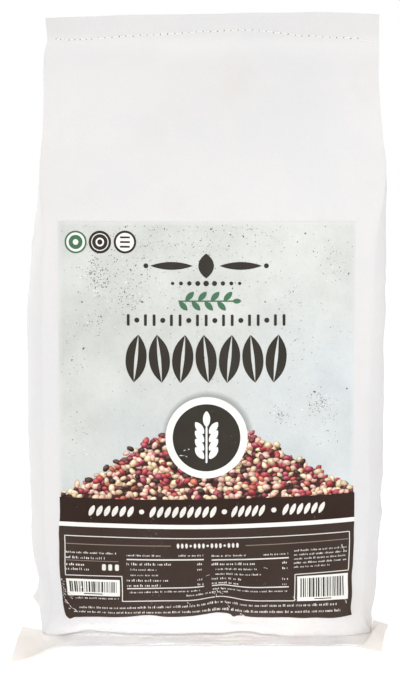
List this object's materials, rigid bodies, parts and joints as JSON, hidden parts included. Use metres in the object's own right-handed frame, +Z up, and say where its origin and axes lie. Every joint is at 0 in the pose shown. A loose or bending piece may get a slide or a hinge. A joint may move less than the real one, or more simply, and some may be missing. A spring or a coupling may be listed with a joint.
{
  "type": "sack of quinoa",
  "caption": "Tall white paper sack of grain, sewn shut across its flat top, standing upright on a folded bottom end with ears at its corners, with a printed label on its front.",
  "frame": {"origin": "middle of the flat base that the sack stands on", "axes": "+Z up to the sewn top, -Y towards the labelled front, +X to the right as seen from the front"},
  "size_m": [0.3411, 0.1716, 0.576],
  "materials": {
    "sack_paper": "matt, lightly creased",
    "label_print": "satin print",
    "thread": "twisted cotton"
  },
  "bodies": {
    "root": {"sack": "sack_paper", "label": "label_print", "stitching_front": "thread", "stitching_back": "thread"}
  },
  "joints": []
}
